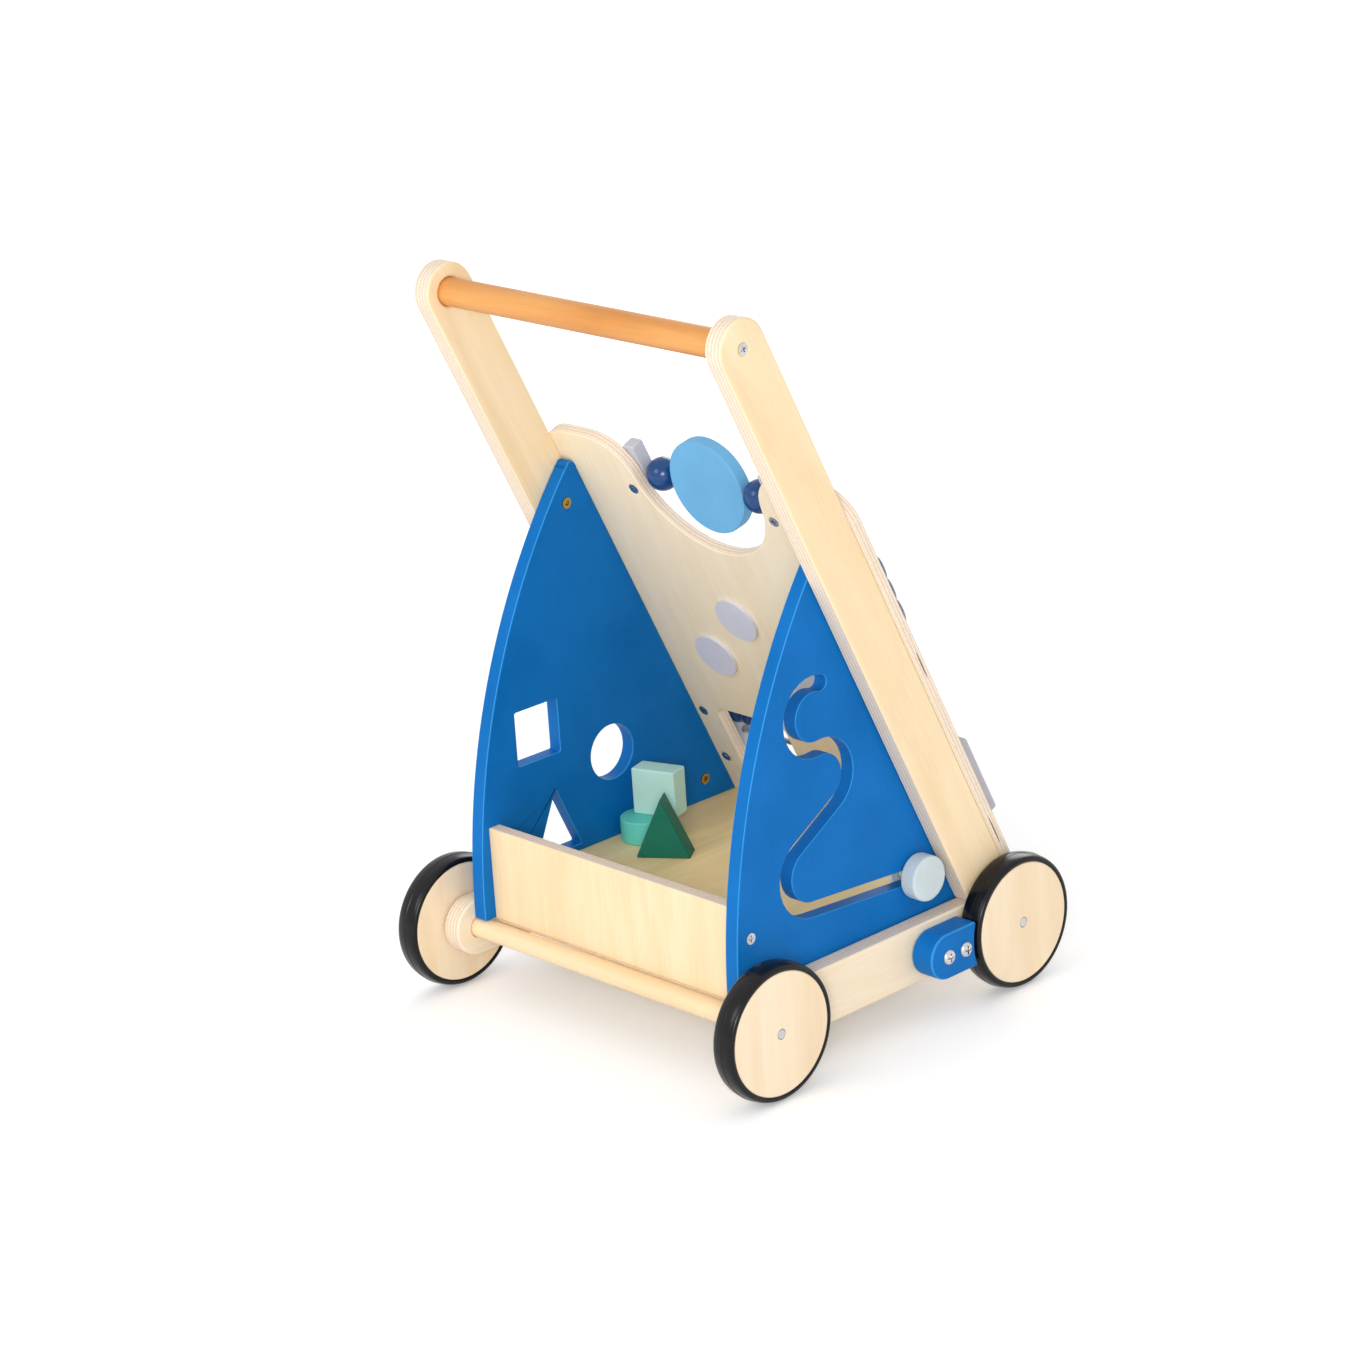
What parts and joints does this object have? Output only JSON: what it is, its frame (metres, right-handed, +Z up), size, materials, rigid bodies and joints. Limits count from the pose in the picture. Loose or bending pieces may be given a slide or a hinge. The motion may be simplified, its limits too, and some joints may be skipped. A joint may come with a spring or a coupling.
{
  "type": "baby walker",
  "caption": "Wooden push-along baby walker with rubber-tyred wheels, a tray with sorter holes and a slider maze, and a slanted activity board with gears and beads.",
  "frame": {"origin": "on the ground, midway between the four wheels", "axes": "+X to the right of the child who pushes it, +Y forwards, +Z up"},
  "size_m": [0.3422, 0.337, 0.5275],
  "materials": {
    "birch": "clear satin lacquer on birch plywood and solid birch",
    "beech": "clear satin lacquer on beech",
    "blue": "blue satin paint on wood",
    "pale_blue": "pale blue satin paint on wood",
    "deep_blue": "dark blue gloss paint on wood",
    "mint": "mint satin paint on wood",
    "turquoise": "turquoise satin paint on wood",
    "green": "dark green satin paint on wood",
    "grey_paint": "light grey satin paint on wood",
    "knob": "very pale grey satin paint on wood",
    "grey_plastic": "light grey moulded plastic",
    "tyre": "black rubber, slightly glossy",
    "steel": "zinc plated steel",
    "gilt": "yellow plated socket screws"
  },
  "bodies": {
    "frame": {"left_arm": "birch", "right_arm": "birch", "handle_bar": "beech", "handle_screws": "steel", "left_rail": "birch", "right_rail": "birch", "arm_dowels": "beech", "left_panel": "blue", "right_panel": "blue", "panel_screws": "gilt", "wall_screws": "steel", "tray_floor": "birch", "rear_wall": "birch", "rear_dowel": "birch", "front_dowel": "birch", "axle_pins": "steel", "left_brake_block": "blue", "right_brake_block": "blue", "brake_screws": "steel", "activity_board": "birch", "board_front_screws": "steel", "board_rear_screws": "steel", "left_rod_bracket": "grey_paint", "right_rod_bracket": "grey_paint", "flip_rod": "steel", "gear_pegs": "grey_plastic", "gear_caps": "grey_plastic", "left_bead_bar": "grey_paint", "right_bead_bar": "grey_paint", "bead_rods": "steel", "roller_brackets": "grey_paint"},
    "rear_left_wheel_set": {"wheel_rear_left": "birch", "tyre_rear_left": "tyre"},
    "rear_right_wheel_set": {"wheel_rear_right": "birch", "tyre_rear_right": "tyre"},
    "front_left_wheel_set": {"wheel_front_left": "birch", "tyre_front_left": "tyre"},
    "front_right_wheel_set": {"wheel_front_right": "birch", "tyre_front_right": "tyre"},
    "flip_disc_body": {"flip_disc": "pale_blue"},
    "left_flip_bead_body": {"left_flip_bead": "deep_blue"},
    "right_flip_bead_body": {"right_flip_bead": "deep_blue"},
    "gear_outer_left_body": {"gear_outer_left": "pale_blue"},
    "gear_inner_left_body": {"gear_inner_left": "deep_blue"},
    "gear_inner_right_body": {"gear_inner_right": "mint"},
    "gear_outer_right_body": {"gear_outer_right": "turquoise"},
    "upper_bead_1_body": {"upper_bead_1": "deep_blue"},
    "upper_bead_2_body": {"upper_bead_2": "deep_blue"},
    "upper_bead_3_body": {"upper_bead_3": "deep_blue"},
    "upper_bead_4_body": {"upper_bead_4": "deep_blue"},
    "lower_bead_1_body": {"lower_bead_1": "pale_blue"},
    "lower_bead_2_body": {"lower_bead_2": "pale_blue"},
    "lower_bead_3_body": {"lower_bead_3": "pale_blue"},
    "left_roller_body": {"left_roller": "deep_blue"},
    "right_roller_body": {"right_roller": "deep_blue"},
    "round_block_body": {"round_block": "turquoise"},
    "square_block_body": {"square_block": "mint"},
    "triangle_block_body": {"triangle_block": "green"},
    "slider": {"slider_knob": "knob", "slider_washer": "knob"}
  },
  "joints": [
    {"name": "rear_left_wheel_spin", "type": "hinge", "parent": "frame", "child": "rear_left_wheel_set", "pos_m": [-0.1595, -0.12, 0.0485], "axis": [1, 0, 0], "continuous": true},
    {"name": "rear_right_wheel_spin", "type": "hinge", "parent": "frame", "child": "rear_right_wheel_set", "pos_m": [0.1595, -0.12, 0.0485], "axis": [1, 0, 0], "continuous": true},
    {"name": "front_left_wheel_spin", "type": "hinge", "parent": "frame", "child": "front_left_wheel_set", "pos_m": [-0.1595, 0.12, 0.0485], "axis": [1, 0, 0], "continuous": true},
    {"name": "front_right_wheel_spin", "type": "hinge", "parent": "frame", "child": "front_right_wheel_set", "pos_m": [0.1595, 0.12, 0.0485], "axis": [1, 0, 0], "continuous": true},
    {"name": "flip_disc_spin", "type": "hinge", "parent": "frame", "child": "flip_disc_body", "pos_m": [0, 0.00649, 0.36662], "axis": [1, 0, 0], "continuous": true},
    {"name": "left_flip_bead_spin", "type": "hinge", "parent": "frame", "child": "left_flip_bead_body", "pos_m": [-0.0475, 0.00649, 0.36662], "axis": [1, 0, 0], "continuous": true},
    {"name": "right_flip_bead_spin", "type": "hinge", "parent": "frame", "child": "right_flip_bead_body", "pos_m": [0.0475, 0.00649, 0.36662], "axis": [1, 0, 0], "continuous": true},
    {"name": "gear_outer_left_spin", "type": "hinge", "parent": "frame", "child": "gear_outer_left_body", "pos_m": [-0.0645, 0.06858, 0.21786], "axis": [0, 0.9026, 0.4305], "continuous": true},
    {"name": "gear_inner_left_spin", "type": "hinge", "parent": "frame", "child": "gear_inner_left_body", "pos_m": [-0.0215, 0.04942, 0.25803], "axis": [0, 0.9026, 0.4305], "continuous": true},
    {"name": "gear_inner_right_spin", "type": "hinge", "parent": "frame", "child": "gear_inner_right_body", "pos_m": [0.0215, 0.06858, 0.21786], "axis": [0, 0.9026, 0.4305], "continuous": true},
    {"name": "gear_outer_right_spin", "type": "hinge", "parent": "frame", "child": "gear_outer_right_body", "pos_m": [0.0645, 0.04942, 0.25803], "axis": [0, 0.9026, 0.4305], "continuous": true},
    {"name": "upper_bead_1_slide", "type": "slide", "parent": "frame", "child": "upper_bead_1_body", "axis": [1, 0, 0], "range_m": [0, 0.0526]},
    {"name": "upper_bead_2_slide", "type": "slide", "parent": "frame", "child": "upper_bead_2_body", "axis": [1, 0, 0], "range_m": [0, 0.0526]},
    {"name": "upper_bead_3_slide", "type": "slide", "parent": "frame", "child": "upper_bead_3_body", "axis": [1, 0, 0], "range_m": [-0.0526, 0.09135]},
    {"name": "upper_bead_4_slide", "type": "slide", "parent": "frame", "child": "upper_bead_4_body", "axis": [1, 0, 0], "range_m": [-0.09135, 0.01985]},
    {"name": "lower_bead_1_slide", "type": "slide", "parent": "frame", "child": "lower_bead_1_body", "axis": [1, 0, 0], "range_m": [-0.0126, 0.0751]},
    {"name": "lower_bead_2_slide", "type": "slide", "parent": "frame", "child": "lower_bead_2_body", "axis": [1, 0, 0], "range_m": [-0.0751, 0.08135]},
    {"name": "lower_bead_3_slide", "type": "slide", "parent": "frame", "child": "lower_bead_3_body", "axis": [1, 0, 0], "range_m": [-0.08135, 0.00735]},
    {"name": "left_roller_spin", "type": "hinge", "parent": "frame", "child": "left_roller_body", "pos_m": [-0.119, 0.04396, 0.30084], "axis": [0, 0.4305, -0.9026], "continuous": true},
    {"name": "right_roller_spin", "type": "hinge", "parent": "frame", "child": "right_roller_body", "pos_m": [0.119, 0.04396, 0.30084], "axis": [0, 0.4305, -0.9026], "continuous": true},
    {"name": "slider_slide", "type": "slide", "parent": "frame", "child": "slider", "axis": [0, -0.9976, 0.0698], "range_m": [0, 0.1]},
    {"name": "round_block_lift", "type": "slide", "parent": "frame", "child": "round_block_body", "axis": [0, -0.4305, 0.9026], "range_m": [0, 0.25]},
    {"name": "square_block_lift", "type": "slide", "parent": "round_block_body", "child": "square_block_body", "axis": [0, -0.4305, 0.9026], "range_m": [0, 0.02]},
    {"name": "triangle_block_lift", "type": "slide", "parent": "frame", "child": "triangle_block_body", "axis": [0, -0.4305, 0.9026], "range_m": [0, 0.25]}
  ],
  "couplings": [
    {"joint": "gear_inner_left_spin", "follows": "gear_outer_left_spin", "ratio": -1},
    {"joint": "gear_inner_right_spin", "follows": "gear_outer_left_spin", "ratio": 1},
    {"joint": "gear_outer_right_spin", "follows": "gear_outer_left_spin", "ratio": -1},
    {"joint": "upper_bead_1_slide", "follows": "upper_bead_2_slide", "ratio": 1}
  ]
}
